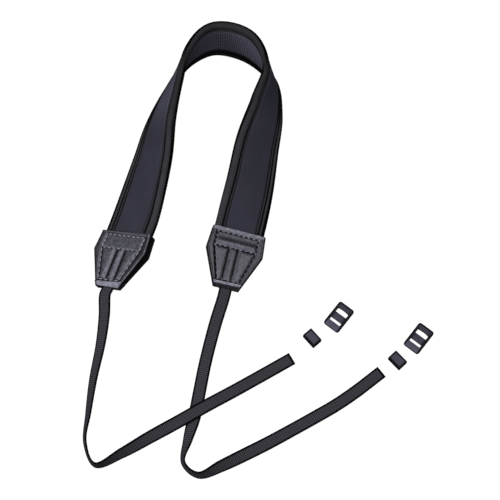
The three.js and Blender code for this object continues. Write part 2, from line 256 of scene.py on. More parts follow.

# How each tab lies and is shaded: its seams are sewn askew, and painted light falls on the flanks of its
# relief that face one way, painted shade on the others. The left panel is flat with a painted highlight on
# its rolled end.
# The right panel has a fold, and its end turns under into painted shade. The first lines of each tab give its
# shape, the others its tones
TAB_WAYS = {
    "left": {
        "skew": 0.085, "lean": 0.05, "mouth_cut": 1.1, "panel_rise": 0.45, "panel_crest": -9.4,
        "panel_spread": 4.4, "rib_rise": 1.4, "groove_sink": 0.4, "groove_shift": 0.6, "fold_from": -41.4,
        "fold_slope": 0.35, "fold_tilt": 0.06,
        "level": 0.95, "slope_light": (1.0, 0.0), "gain": 1.1, "valley": 0.45, "groove_dark": 0.5, "margin": 0.38,
        "mouth": -0.45, "flank": 0.45, "shade_side": 0.38, "rim": 1.5, "edges": (1.5, 0.1), "rib_dark": 0.0,
        "rib_shade": (1, 0.35), "crease": 1.2, "end": 1.4, "end_dark_from": -60.0,
    },
    "right": {
        "skew": 0.0, "lean": 0.0, "mouth_cut": 0.0, "panel_rise": 1.3, "panel_crest": -11.4,
        "panel_spread": 2.7, "rib_rise": 0.9, "groove_sink": 0.3, "groove_shift": -0.4, "fold_from": -40.7,
        "fold_slope": 0.6, "fold_tilt": 0.04,
        "level": 0.87, "slope_light": (-0.4, -0.9), "gain": 1.45, "valley": 0.15, "groove_dark": 0.15, "margin": 0.3,
        "mouth": 0.9, "flank": 0.0, "shade_side": 0.0, "rim": 0.0, "edges": (0.5, 1.1), "rib_dark": 0.15,
        "rib_shade": (-1, 0.25), "crease": 0.2, "end": 2.6, "end_dark_from": -42.8,
    },
}
LEAN_FROM = -22.0
# Step and range of the slope that sets the painted light and shade on the tabs
SLOPE_STEP = 0.25
SLOPE_RANGE = (-0.55, 0.8)
RIB_SHADE = 3.4
TAB_TONE_RANGE = (0.03, 3.2)
TAB_GRID = (120, 124)
TAB_STITCH_PITCH = 4.2
TAB_STITCH_LENGTH = 3.1
TAB_STITCH_RADIUS = 0.42

# Keeper loops and two-slot sliders; soft edges have a width, a number of segments and a least angle
KEEPER_SIZE = (12.2, 8.4, 5.8)
KEEPER_WALL = 0.9
KEEPER_SOFT = (0.42, 4, 40)
SLIDER_SIZE = (14.0, 21.7, 2.4)
SLOT_HALF = 4.8
NEAR_SLOT = (-5.6, -3.2)
FAR_SLOT = (2.2, 5.7)
SLOT_ARCH = 0.45
SLOT_CUTS = 7
BAR_MARGIN = 0.6
BAR_RISE = 0.35
BAR_RIDGES = 4
RIDGE_HEIGHT = 0.25
RIM_WIDTH = 1.3
RIM_FADE = 0.3
# Tones of the fittings: painted shade on all but the top field, darker strips beside the slots, and a painted
# highlight on the keeper's lip
PAINTED_SHADE_TONE = 0.04
RAIL_TONE = 0.25
KEEPER_LIP_HIGHLIGHT = 1.7
SLIDER_CORNER = 1.9
CORNER_SEGMENTS = 6
SLIDER_SOFT = (0.35, 3, 50)

# Floor and light
FLOOR_LEVEL = -0.4
FLOOR_GLOW = 0.97
LAMP_COLOUR = (0.92, 0.92, 1.0)
WORLD_COLOUR = (0.95, 0.97, 1.0)
WORLD_STRENGTH = 0.06

# Ribs of a wave texture at scale 1 are this far apart
WAVE_PITCH = 0.314


# Small helpers for arrays

def unit(vectors):
    return vectors / np.linalg.norm(vectors, axis=-1, keepdims=True)


def smooth(value):
    """Eases a share from 0 to 1."""
    share = np.clip(value, 0.0, 1.0)
    return share * share * (3.0 - 2.0 * share)


def dip(distance, width):
    """A soft trough that is 1 deep at distance 0."""
    return np.exp(-((distance / width) ** 2))


# Routes

def catmull_rom(rows, divisions):
    """Points on the uniform spline through the rows, with its ends reflected."""
    rows = np.array(rows, float)
    guides = np.vstack([2 * rows[0] - rows[1], rows, 2 * rows[-1] - rows[-2]])
    spans = len(rows) - 1
    where = np.linspace(0, spans, spans * divisions + 1)
    span = np.minimum(where.astype(int), spans - 1)
    share = (where - span)[:, None]
    before, start, end, after = (guides[span + k] for k in range(4))
    leave = (end - before) / 2
    arrive = (after - start) / 2
    cubic = 2 * (start - end) + leave + arrive
    square = 3 * (end - start) - 2 * leave - arrive
    return ((cubic * share + square) * share + leave) * share + start


class Route:
    """A strap's centre line, with the ways across it and out of its outer face, by distance along it."""

    def __init__(self, rows, hand):
        dense = catmull_rom(rows, ROUTE_DIVISIONS)
        self.place = dense[:, :3] + LAYOUT_SHIFT
        steps = np.linalg.norm(np.diff(self.place, axis=0), axis=1)
        self.reach = np.concatenate([[0.0], np.cumsum(steps)])
        self.length = self.reach[-1]
        tangent = unit(np.gradient(self.place, self.reach, axis=0))
        level = unit(np.cross(tangent, UP))
        rise = np.cross(level, tangent)
        roll = np.radians(dense[:, 3:4])
        self.across = hand * np.cos(roll) * level + np.sin(roll) * rise
        self.outward = hand * np.cross(self.across, tangent)
        self.roll = dense[:, 3]

    def read(self, track, along):
        return np.stack([np.interp(along, self.reach, track[:, k]) for k in range(3)], axis=-1)

    def lay(self, along, across, out):
        """Lays flat points on the route: along it, across it towards the raised edge, out of its face."""
        sideways = np.asarray(across)[..., None] * self.read(self.across, along)
        outwards = np.asarray(out)[..., None] * self.read(self.outward, along)
        return self.read(self.place, along) + sideways + outwards


pad_route = Route(PAD_ROUTE, 1)
tail_routes = {side: Route(rows, -1) for side, rows in TAIL_ROUTES.items()}


# Meshes

def new_piece(name, points, faces):
    """A piece from points in millimetres."""
    mesh = bpy.data.meshes.new(name)
    mesh.from_pydata((points * MM).tolist(), [], faces)
    mesh.validate()
    piece = bpy.data.objects.new(name, mesh)
    bpy.context.scene.collection.objects.link(piece)
    return piece


def select_only(piece):
    bpy.ops.object.select_all(action="DESELECT")
    bpy.context.view_layer.objects.active = piece
    piece.select_set(True)


def point_outwards(piece):
    """Turns the faces of a closed piece outwards."""
    mesh = bmesh.new()
    mesh.from_mesh(piece.data)
    bmesh.ops.recalc_face_normals(mesh, faces=mesh.faces)
    mesh.to_mesh(piece.data)
    mesh.free()


def shade(piece, angle):
    select_only(piece)
    bpy.ops.object.shade_smooth_by_angle(angle=math.radians(angle))


def keep_attribute(piece, name, values):
    attribute = piece.data.attributes.new(name, "FLOAT", "POINT")
    attribute.data.foreach_set("value", np.asarray(values, np.float32).ravel())


def read_points(piece):
    points = np.zeros(len(piece.data.vertices) * 3)
    piece.data.vertices.foreach_get("co", points)
    return points.reshape(-1, 3)


def write_points(piece, points):
    piece.data.vertices.foreach_set("co", points.astype(np.float32).ravel())
    piece.data.update()


def pick(piece, chosen):
    """Selects the chosen faces of a piece in edit mode."""
    bpy.ops.mesh.select_all(action="DESELECT")
    mesh = bmesh.from_edit_mesh(piece.data)
    for face in mesh.faces:
        face.select_set(bool(chosen(face)))
    mesh.select_flush_mode()
    bmesh.update_edit_mesh(piece.data)


def tube_faces(rings, sides):
    """Faces of a closed tube of rings, with its two end caps last."""
    ring, side = np.meshgrid(np.arange(rings - 1), np.arange(sides), indexing="ij")
    here = ring * sides
    after = (side + 1) % sides
    corners = np.stack([here + side, here + after, here + sides + after, here + sides + side], -1)
    caps = [list(range(sides))[::-1], list(range((rings - 1) * sides, rings * sides))]
    return corners.reshape(-1, 4).tolist() + caps


def swept_skin(name, route, along, across, out):
    """A closed skin from flat rows of a section, with its flat coordinates kept as a UV map in metres."""
    rows, cols = out.shape
    distance = np.broadcast_to(along[:, None], out.shape)
    across = np.broadcast_to(across, out.shape)
    points = route.lay(distance, across, out).reshape(-1, 3)
    piece = new_piece(name, points, tube_faces(rows, cols))

    edges = np.hypot(np.diff(across[0], append=across[0][:1]), np.diff(out[0], append=out[0][:1]))
    girth = np.concatenate([[0.0], np.cumsum(edges)])
    row, col = np.meshgrid(np.arange(rows - 1), np.arange(cols), indexing="ij")
    flat_u = along[np.stack([row, row, row + 1, row + 1], -1)]
    flat_v = girth[np.stack([col, col + 1, col + 1, col], -1)]
    flat = np.stack([flat_u, flat_v], -1).reshape(-1, 2) * MM
    caps = np.zeros((2 * cols, 2))
    layer = piece.data.uv_layers.new(name="flat")
    layer.data.foreach_set("uv", np.vstack([flat, caps]).astype(np.float32).ravel())
    point_outwards(piece)
    return piece


# Outline of one stitch: share of its length, share of its radius, height over its ends in radii
STITCH_FORM = np.array([
    (0.0, 0.45, -0.9),
    (0.12, 0.85, 0.1),
    (0.3, 1.0, 0.75),
    (0.5, 1.0, 0.9),
    (0.7, 1.0, 0.75),
    (0.88, 0.85, 0.1),
    (1.0, 0.45, -0.9),
])
STITCH_SIDES = 8


def stitching(name, starts, ends, outs, radius):
    """Rows of thread stitches, each arched from its start to its end over the cloth, joined in one piece."""
    along = ends - starts
    sideways = unit(np.cross(along, outs))
    turn = np.linspace(0, 2 * math.pi, STITCH_SIDES, endpoint=False)
    share, width, height = STITCH_FORM.T
    middle = starts[:, None] + along[:, None] * share[:, None] + outs[:, None] * (height * radius)[:, None]
    ring = radius * width[:, None, None]
    round_way = np.cos(turn)[:, None] * sideways[:, None, None] + np.sin(turn)[:, None] * outs[:, None, None]
    points = middle[:, :, None] + ring * round_way
    count, rings, sides = points.shape[:3]
    one = tube_faces(rings, sides)
    per_stitch = rings * sides
    faces = [[corner + k * per_stitch for corner in face] for k in range(count) for face in one]
    piece = new_piece(name, points.reshape(-1, 3), faces)
    point_outwards(piece)
    shade(piece, 60)
    return piece


# Padded band

def pad_stations():
    return np.linspace(0, pad_route.length, int(pad_route.length / PAD_STEP) + 1)


def soft_swell(along, across):
    """Slow unevenness of foam under cloth."""
    long_wave = np.sin(along / 21.0 + across / 9.0) * np.sin(along / 47.0 - across / 17.0 + 1.3)
    short_wave = np.sin(along / 9.7 - across / 6.1 + 0.6) * np.cos(across / 4.3 + along / 31.0)
    return LONG_SWELL * long_wave + SHORT_SWELL * short_wave


def roll_share(along, rolls):
    """How far the band's roll has gone from one roll to another, in a column for the stations."""
    roll = np.interp(along, pad_route.reach, pad_route.roll)
    return smooth((roll - rolls[0]) / (rolls[1] - rolls[0]))[:, None]


def from_middle(across):
    """Distance from the band's middle, less the shift of its low edge."""
    return np.maximum(across, -across - LOW_SHIFT)


def seam_tone(section, seam):
    """Tone of a face that darkens towards the tapes' free edges, as painted shade in the seam under them."""
    dark, fade = seam
    return dark + (1 - dark) * smooth((FACE_EDGE + 0.1 - from_middle(section)) / fade)


def knit_face():
    along = pad_stations()
    across = np.linspace(-FACE_HALF - LOW_SHIFT, FACE_HALF, KNIT_COLUMNS)
    shoulder = smooth((FACE_EDGE - from_middle(across)) / KNIT_SHOULDER) ** 0.7
    face = KNIT_LEVEL + KNIT_RISE * shoulder + KNIT_CROWN * (1 - (across / FACE_HALF) ** 2)
    top = face + soft_swell(along[:, None], across) * shoulder
    base = np.full((len(along), 2), KNIT_BASE)
    section = np.concatenate([across, [FACE_HALF, -FACE_HALF - LOW_SHIFT]])
    piece = swept_skin("knit_face", pad_route, along, section, np.hstack([top, base]))
    # Painted highlight on the knit before the top of the bend
    near_half = smooth((pad_route.length / 2 - along) / KNIT_HIGHLIGHT_FADE)[:, None]
    highlight_share = roll_share(along, KNIT_HIGHLIGHT_ROLL) - roll_share(along, KNIT_HIGHLIGHT_END_ROLL)
    painted_light = 1 + KNIT_PAINTED_HIGHLIGHT * highlight_share * near_half
    keep_attribute(piece, "tone", painted_light * seam_tone(section, KNIT_SEAM_SHADE))
    shade(piece, 50)
    return piece


def mesh_lining():
    along = pad_stations()
    across = np.linspace(FACE_HALF, -FACE_HALF - LOW_SHIFT, LINING_COLUMNS)
    rise = smooth((FACE_EDGE - from_middle(across)) / LINING_SHOULDER) ** 0.8
    swell = LINING_SWELL * soft_swell(along[:, None] + 60, across)
    low = LINING_LEVEL - LINING_RISE * rise + swell * rise
    top = np.full((len(along), 2), LINING_TOP)
    section = np.concatenate([across, [-FACE_HALF - LOW_SHIFT, FACE_HALF]])
    piece = swept_skin("mesh_lining", pad_route, along, section, np.hstack([low, top]))
    # Painted light on the lining after the top of the bend
    far_half = smooth((along - pad_route.length / 2) / LINING_HIGHLIGHT_FADE)[:, None]
    painted_light = 1 + LINING_PAINTED_LIGHT * far_half * roll_share(along, LINING_HIGHLIGHT_ROLL)
    keep_attribute(piece, "tone", painted_light * seam_tone(section, LINING_SEAM_SHADE))
    shade(piece, 50)
    return piece


def drawn_out(across):
    """Moves the inner parts of the low edge's section outwards."""
    return across + LOW_SHIFT * (1 - smooth((across - 14.1) / 3.0))


def tape_tone(along, across, level, side):
    """Tone of a tape at points of its section, along the band: painted shade in its seam, valley and sides,
    and painted light and shade round the bend.
    """
    flat = np.interp(across, *TAPE_TONES[side])
    # Painted shade down the sides of the turn along the legs
    dark, light = TURN_SHADE_LEVELS[side]
    risen = smooth((np.abs(level) - dark) / (light - dark))
    legs = np.where(across > TURN_FROM, flat * (0.03 + 0.97 * risen), flat)
    # Round the bend the low tape has painted shade, and the raised one painted dark rims of shade and painted
    # light on its back
    if side < 0:
        return legs * (1 - LOW_PAINTED_SHADE * roll_share(along, LOW_ROLL))
    standing = roll_share(along, RIM_ROLL)
    outer_rim = smooth((level + 0.1) / 0.7)
    inner_rim = smooth((0.2 - level) / 0.8)
    painted_rims = standing * outer_rim + (1 - standing) * inner_rim
    back_painted_light = 1 + 0.1 * standing * smooth((-0.8 - level) / 1.2)
    turn = BEND_TONE * (1 - RIM_PAINTED_SHADE * painted_rims) * back_painted_light
    # Over the bend the raised tape's face has an even tone, painted lighter on its back, with painted shade
    # at its free edge
    face = np.where(level < 0, BEND_BACK_LIGHT, 1) * BEND_FLAT * smooth((across - 11.85) / 0.3)
    turned = np.where(across > TURN_FROM, turn, face)
    return legs + roll_share(along, BEND_ROLL) * (turned - legs)


def edge_tape(name, side):
    """A tape folded over one edge of the band; side is 1 for the raised edge and -1 for the low one."""
    along = pad_stations()
    upper = catmull_rom(TAPE_OUTER, TAPE_DIVISIONS)
    lower = upper[-2::-1] * (1, -1)
    inner = [(across, -out) for across, out in TAPE_INNER[::-1]] + TAPE_INNER
    section = np.vstack([upper, lower, inner])
    across = section[:, 0]
    near_row = dip(across - TAPE_STITCH_AT - 0.5, 1.1) * np.sign(section[:, 1])
    near_row[len(upper) + len(lower):] = 0
    pucker = np.cos(2 * math.pi * along / STITCH_PITCH)[:, None]
    out = section[:, 1] - TAPE_PUCKER * pucker * near_row
    if side > 0:
        out = out * (1 - BEND_THIN * roll_share(along, THIN_ROLL))
    else:
        across = drawn_out(across)
    piece = swept_skin(name, pad_route, along, side * across, out)
    keep_attribute(piece, "tone", tape_tone(along, across, out, side))
    shade(piece, 45)
    return piece


def tape_stitching():
    """One row of stitches along each tape on both faces of the band."""
    first = np.arange(STITCHED_FROM, pad_route.length - STITCHED_FROM, STITCH_PITCH)
    starts, ends, outs = [], [], []
    for side in (1, -1):
        for face in (1, -1):
            across = np.full(len(first), TAPE_STITCH_AT if side > 0 else -TAPE_STITCH_AT - LOW_SHIFT)
            level = np.full(len(first), face * TAPE_STITCH_LEVEL)
            starts.append(pad_route.lay(first, across, level))
            ends.append(pad_route.lay(first + STITCH_LENGTH, across, level))
            outs.append(face * pad_route.read(pad_route.outward, first + STITCH_LENGTH / 2))
    return stitching("tape_stitching", np.vstack(starts), np.vstack(ends), np.vstack(outs), STITCH_RADIUS)


# Woven tails

def woven_tail(side):
    route = tail_routes[side]
    along = np.linspace(0, route.length, int(route.length / (WEFT_PITCH / YARN_STEPS)) + 1)
    flat = TAIL_WIDTH / 2 - TAIL_RIM
    face = np.linspace(-flat, flat, WARP_COLUMNS * YARN_STEPS + 1)
    rim = np.linspace(math.pi / 2, -math.pi / 2, 7)[1:-1]
    bulge = flat + TAIL_RIM * np.cos(rim)
    across = np.concatenate([face, bulge, face[::-1], -bulge])
    level = np.concatenate([np.ones_like(face), np.sin(rim), -np.ones_like(face), -np.sin(rim)])
    column_width = 2 * flat / WARP_COLUMNS
    column = np.clip(np.floor((across + flat) / column_width), 0, WARP_COLUMNS - 1)
    grain = np.abs(np.sin(math.pi * (along[:, None] / WEFT_PITCH + 0.1 * (column % 2))))
    ridge = np.abs(np.sin(math.pi * (across + flat) / column_width)) ** 0.7
    ridge = np.where(np.abs(across) > flat, 0.5, ridge)
    weave = (0.22 + 0.78 * grain ** 1.6) * (0.65 + 0.35 * ridge)
    # Painted shade along both side edges of the web
    edge_shade = smooth((np.abs(across) - EDGE_SHADE_FROM) / 0.6)
    sealed = smooth((along - route.length + SEALED_LENGTH) / 0.5)[:, None]
    weave = weave * (1 - edge_shade) * (1 - sealed)
    body = TAIL_HALF_THICK - 0.55 * WEAVE_HEIGHT
    pressed = 1 - 0.35 * dip(along - route.length, 0.5)[:, None]
    out = level * (body + WEAVE_HEIGHT * weave * (np.abs(level) > 0.3)) * pressed
    piece = swept_skin(f"tail_{side}", route, along, across, out)
    keep_attribute(piece, "weave", weave)
    shade(piece, 60)
    return piece


# Leather tabs

def tab_half_width(y):
    half = np.interp(y, TAB_OUTLINE_Y, TAB_OUTLINE_HALF)
    into_corner = np.clip((y + TAB_CORNER) / TAB_CORNER, 0, 1)
    return half - TAB_CORNER * (1 - np.sqrt(1 - into_corner ** 2)) * 0.8


def segment_distance(x, y, start, end):
    way = np.subtract(end, start)
    share = ((x - start[0]) * way[0] + (y - start[1]) * way[1]) / way.dot(way)
    share = np.clip(share, 0, 1)
    return np.hypot(x - start[0] - share * way[0], y - start[1] - share * way[1])


def seam_lines():
    """Seams of a tab, each by its two ends."""
    wide, narrow = FIELD_HALF[1], FIELD_HALF[0]
    lines = [((-wide, SEAM_TOP), (wide, SEAM_TOP)),
             ((-wide, SEAM_MIDDLE), (wide, SEAM_MIDDLE)),
             ((-narrow, SEAM_BOTTOM), (narrow, SEAM_BOTTOM))]
    for hand in (-1, 1):
        lines.append(((hand * wide, SEAM_TOP), (hand * wide, SEAM_MIDDLE)))
        lines.append(((hand * wide, SEAM_MIDDLE), (hand * narrow, SEAM_BOTTOM)))
    return lines


def sewn_askew(x, y, ways):
    """Place across the tab as its sewn field has it."""
    return x - ways["lean"] * (y - LEAN_FROM)


def tab_fields(x, y, ways):
    """Distances on a tab's face: to its seams, into its panel and its ribs, from its grooves, to its edge."""
    sewn = sewn_askew(x, y, ways)
    field = np.interp(y, FIELD_Y, FIELD_HALF)
    seam = np.min([segment_distance(sewn, y, start, end) for start, end in seam_lines()], axis=0)
    side = field - np.abs(sewn)
    panel = np.minimum(np.minimum(side, SEAM_TOP - y), y - SEAM_MIDDLE)
    lower = np.minimum(np.minimum(side, SEAM_MIDDLE - y), y - SEAM_BOTTOM)
    groove = np.abs(np.abs(sewn - ways["groove_shift"]) - GROOVE_AT) - GROOVE_HALF
    margin = tab_half_width(y) - np.abs(x)
    outside = (side < 0) | (y > SEAM_TOP) | (y < SEAM_BOTTOM)
    return seam, panel, lower, groove, margin, outside


def pillow(distance, softness):
    """Share of a pillow's full height at a distance inside its seams."""
    return 1 - np.exp(-np.maximum(distance, 0) / softness)


def tab_relief(x, y, ribbed, ways):
    """Height of the leather over the tab's plain face: pillows between seams, ribs, grooves and folds."""
    seam, panel, lower, groove, margin, outside = tab_fields(x, y, ways)
    crest = dip(y - ways["panel_crest"], ways["panel_spread"])
    height = ways["panel_rise"] * crest * pillow(panel, 1.2)
    if ribbed:
        height += ways["rib_rise"] * pillow(np.minimum(lower, groove), 1.1)
        height -= ways["groove_sink"] * smooth(-groove) * smooth(lower / 1.2)
    else:
        height += BACK_RISE * pillow(lower, 2.5)
    height += np.where(outside, BORDER_RISE * smooth(seam / 2.0) * smooth(margin / 1.2), 0)
    height += MOUTH_RISE * smooth((y - SEAM_TOP - 0.6) / 3.0)
    below = ways["fold_from"] + ways["fold_tilt"] * x - y
    height += FOLD_RISE * smooth(below / 0.8) - ways["fold_slope"] * np.maximum(below - 0.8, 0)
    height -= SEAM_SINK * dip(seam, 0.6)
    height += EDGE_LINE * (dip(margin - 0.95, 0.4) - dip(margin - 1.9, 0.4))
    creases = np.sin(x * 1.9 + np.sin(y * 0.8) * 1.4) * np.sin(y * 1.3 + x * 0.35)
    return height + CREASE_HEIGHT * creases * smooth(seam / 2)


def slope_shading(x, y, ribbed, ways):
    """Slope of the relief, positive where it falls the way that gets painted light."""
    step_x, step_y = (SLOPE_STEP * share for share in ways["slope_light"])
    before = tab_relief(x - step_x, y - step_y, ribbed, ways)
    after = tab_relief(x + step_x, y + step_y, ribbed, ways)
    return np.clip((before - after) / (2 * SLOPE_STEP), *SLOPE_RANGE)


def tab_tone(x, y, ribbed, ways):
    """Tone of the leather, mostly painted light and shade: by the slope of the relief, painted shade in
    seams, grooves, margins, creases and the turned-under end, painted highlights on edge lines, the mouth
    strip and the rolled end, and dark cut edges, an edge dye widened on one side by painted shade.
    """
    seam, panel, lower, groove, margin, outside = tab_fields(x, y, ways)
    sewn = sewn_askew(x, y, ways)
    in_ribs = smooth(lower)
    # Painted light on flanks that fall one way and painted shade on the others, and painted shade in the seam
    # valleys
    tone = ways["level"] + ways["gain"] * slope_shading(x, y, ribbed, ways) - ways["valley"] * dip(seam, 0.7)
    if ribbed:
        # Painted shade in the grooves, over the ribs and on one side of each rib
        tone -= ways["groove_dark"] * smooth((0.35 - groove) / 0.5) * in_ribs
        tone -= ways["rib_dark"] * in_ribs * smooth((y - SEAM_BOTTOM - 2.0) / 6.0)
        shade_way, shade_dark = ways["rib_shade"]
        for hand in (-1, 1):
            past = shade_way * (sewn - ways["groove_shift"] - hand * GROOVE_AT)
            tone -= shade_dark * smooth((past + 0.4) / 0.8) * smooth((RIB_SHADE - past) / 2.4) * in_ribs
    # Painted shade on the flank inside the left seam and on the margins outside the seams
    into = np.interp(y, FIELD_Y, FIELD_HALF) + sewn
    by_left_seam = smooth((into - 0.4) / 0.6) * smooth((4.0 - into) / 1.8)
    tone -= ways["flank"] * smooth(lower / 0.8) * by_left_seam
    on_side = outside & (y < SEAM_TOP + 1) & (y > SEAM_BOTTOM)
    tone -= ways["margin"] * np.where(on_side, smooth((seam - 0.6) / 1.0), 0)
    tone -= ways["shade_side"] * np.where(on_side & (x > 0), smooth((seam - 0.8) / 1.0), 0)
    # Painted highlights along the edge lines, painted light on the right tab's mouth strip and painted shade
    # on the left's, a painted highlight on the rolled end and painted shade in its crease
    tone += ways["rim"] * dip(margin - 0.8, 0.45) * (x > 0) + 0.15 * dip(margin - 1.5, 0.4)
    tone += ways["mouth"] * smooth((y - SEAM_TOP - 0.5) / 1.0)
    tilted = y - ways["fold_tilt"] * x
    below = ways["fold_from"] - tilted
    tone += ways["end"] * smooth((below - 0.5) / 0.6) - ways["crease"] * dip(below - 0.1, 0.7)
    # Painted shade where the end turns under
    tone *= 1 - 0.95 * smooth((ways["end_dark_from"] - tilted) / 1.0)
    # Dark cut edges: an edge dye, widened on one side by painted shade
    edge = 0.05 + 0.95 * smooth((margin - np.where(x < 0, *ways["edges"])) / 0.7)
    return np.clip(tone, *TAB_TONE_RANGE) * edge


def rounded_over(distance, radius):
    """Drop of a rounded edge at a distance from the edge."""
    inside = np.clip(1 - distance / radius, 0, 1)
    return radius * (1 - np.sqrt(1 - inside ** 2))


def tab_face(x, y, ribbed, ways):
    half = np.interp(y, TAB_THICK_Y, TAB_THICK_HALF)
    margin = tab_half_width(y) - np.abs(x)
    drop = rounded_over(margin, EDGE_ROUND) + rounded_over(-y, MOUTH_ROUND)
    relief = tab_relief(x, y, ribbed, ways) * (1 if ribbed else BACK_RELIEF)
    return half + relief - np.minimum(drop, half - 0.2)


def tab_matrix(side):
    x, y, z, heading, pitch, roll = TAB_PLACES[side]
    turn = (Matrix.Rotation(math.radians(heading), 4, "Z") @ Matrix.Rotation(math.radians(pitch), 4, "X")
            @ Matrix.Rotation(math.radians(roll), 4, "Y"))
    askew = Matrix.Identity(4)
    askew[1][0] = TAB_WAYS[side]["skew"]
    return Matrix.Translation(Vector((x, y, z)) + Vector(LAYOUT_SHIFT)) @ turn @ askew


def placed(points, matrix):
    """Points in millimetres, turned and moved by a matrix in millimetres."""
    turned = np.array(matrix)
    return points @ turned[:3, :3].T + turned[:3, 3]


def hollow(piece, way, pocket, chosen):
    """Insets the chosen wall faces of a piece in edit mode, spreads them and pushes them in, as a pocket."""
    spread, depth = pocket
    pick(piece, chosen)
    bpy.ops.mesh.inset(thickness=POCKET_WALL * MM, use_boundary=True, use_even_offset=False)
    bpy.ops.transform.resize(value=spread, center_override=(0, 0, 0))
    push = Vector(way) * depth * MM
    bpy.ops.mesh.extrude_region_move(TRANSFORM_OT_translate={"value": push})


def double_grid(name):
    """A fine grid of two faces joined by walls, from -1 to 1 both ways."""
    across, along = TAB_GRID
    bpy.ops.object.select_all(action="DESELECT")
    bpy.ops.mesh.primitive_grid_add(x_subdivisions=across, y_subdivisions=along, size=2)
    piece = bpy.context.object
    piece.name = name
    piece.data.name = name
    bpy.ops.object.mode_set(mode="EDIT")
    bpy.ops.mesh.select_all(action="SELECT")
    bpy.ops.mesh.extrude_region_move(TRANSFORM_OT_translate={"value": (0, 0, -1)})
    bpy.ops.mesh.select_all(action="SELECT")
    bpy.ops.mesh.normals_make_consistent(inside=False)
    bpy.ops.object.mode_set(mode="OBJECT")
    return piece


def crowded(place, share):
    """Moves places between -1 and 1 towards both ends, so that grid lines are closer there."""
    return np.sin(place * math.pi / 2) * share + place * (1 - share)


def leather_tab(side):
    piece = double_grid(f"leather_tab_{side}")
    ways = TAB_WAYS[side]
    flat = read_points(piece)
    upper = flat[:, 2] > -0.5
    y = (crowded(flat[:, 1], 0.3) - 1) * TAB_LENGTH / 2
    x = crowded(flat[:, 0], 0.35) * tab_half_width(y)
    z = np.where(upper, tab_face(x, y, True, ways), -tab_face(x, y, False, ways))
    keep_attribute(piece, "tone", np.where(upper, tab_tone(x, y, True, ways), tab_tone(x, y, False, ways)))
    write_points(piece, np.stack([x, y, z], -1) * MM)

    def at_mouth(face):
        return face.normal.y > 0.8 and face.calc_center_median().y > -0.4 * MM

    def at_end(face):
        return face.normal.y < -0.8 and face.calc_center_median().y < (0.4 - TAB_LENGTH) * MM

    bpy.ops.object.mode_set(mode="EDIT")
    bpy.ops.mesh.select_mode(type="FACE")
    hollow(piece, (0, -1, 0), BAND_POCKET, at_mouth)
    hollow(piece, (0, 1, 0), TAIL_POCKET, at_end)
    bpy.ops.object.mode_set(mode="OBJECT")

    shaped = read_points(piece)
    x, y, z = shaped.T / MM
    left_share = 0.5 - x / (2 * TAB_OUTLINE_HALF[-1])
    shaped[:, 1] -= ways["mouth_cut"] * smooth(1 - y / SEAM_TOP) * left_share * MM
    write_points(piece, shaped)
    piece.data.transform(Matrix.Scale(MM, 4) @ tab_matrix(side) @ Matrix.Scale(1 / MM, 4))
    shade(piece, 55)
    return piece


def tab_stitching(side):
    """Thread along the seams of a tab, on both of its faces."""
    matrix = tab_matrix(side)
    ways = TAB_WAYS[side]
    starts, ends, outs = [], [], []
    for start, end in seam_lines():
        way = np.subtract(end, start)
        length = np.hypot(*way)
        count = max(1, round(length / TAB_STITCH_PITCH))
        share = (np.arange(count) + 0.5) / count
        half = TAB_STITCH_LENGTH / length / 2
        for face in (1, -1):
            line = []
            for at in (share - half, share + half):
                y = start[1] + at * way[1]
                x = start[0] + at * way[0] + ways["lean"] * (y - LEAN_FROM)
                z = face * (tab_face(x, y, face > 0, ways) + 0.05)
                line.append(placed(np.stack([x, y, z], -1), matrix))
            starts.append(line[0])
            ends.append(line[1])
            outs.append(np.broadcast_to(face * np.array(matrix)[:3, 2], line[0].shape))
    name = f"tab_stitching_{side}"
    return stitching(name, np.vstack(starts), np.vstack(ends), np.vstack(outs), TAB_STITCH_RADIUS)


# Keeper loops and sliders

def new_block(name, size):
    """A block in edit mode, standing on the surface with its middle over the origin."""
    bpy.ops.object.select_all(action="DESELECT")
    bpy.ops.mesh.primitive_cube_add(size=1, location=(0, 0, size[2] * MM / 2))
    piece = bpy.context.object
    piece.name = name
    piece.data.name = name
    piece.scale = [length * MM for length in size]
    bpy.ops.object.transform_apply(location=True, rotation=True, scale=True)
    bpy.ops.object.mode_set(mode="EDIT")
    bpy.ops.mesh.select_mode(type="FACE")
    return piece


def cut_through(axis, places):
    """Cuts the whole block by planes across one axis."""
    for place in places:
        middle = [0, 0, 0]
        middle[axis] = place * MM
        normal = [0, 0, 0]
        normal[axis] = 1
        bpy.ops.mesh.select_all(action="SELECT")
        bpy.ops.mesh.bisect(plane_co=middle, plane_no=normal)


def soften_edges(piece, soft):
    """Rounds the sharp edges of a block."""
    width, segments, angle = soft
    bevel = piece.modifiers.new("soft_edges", "BEVEL")
    bevel.width = width * MM
    bevel.segments = segments
    bevel.limit_method = "ANGLE"
    bevel.angle_limit = math.radians(angle)
    select_only(piece)
    bpy.ops.object.modifier_apply(modifier=bevel.name)


def moulded_tone(piece, tone):
    """Keeps a tone for each point of a fitting, from its place in millimetres."""
    keep_attribute(piece, "tone", tone(*(read_points(piece).T / MM)))


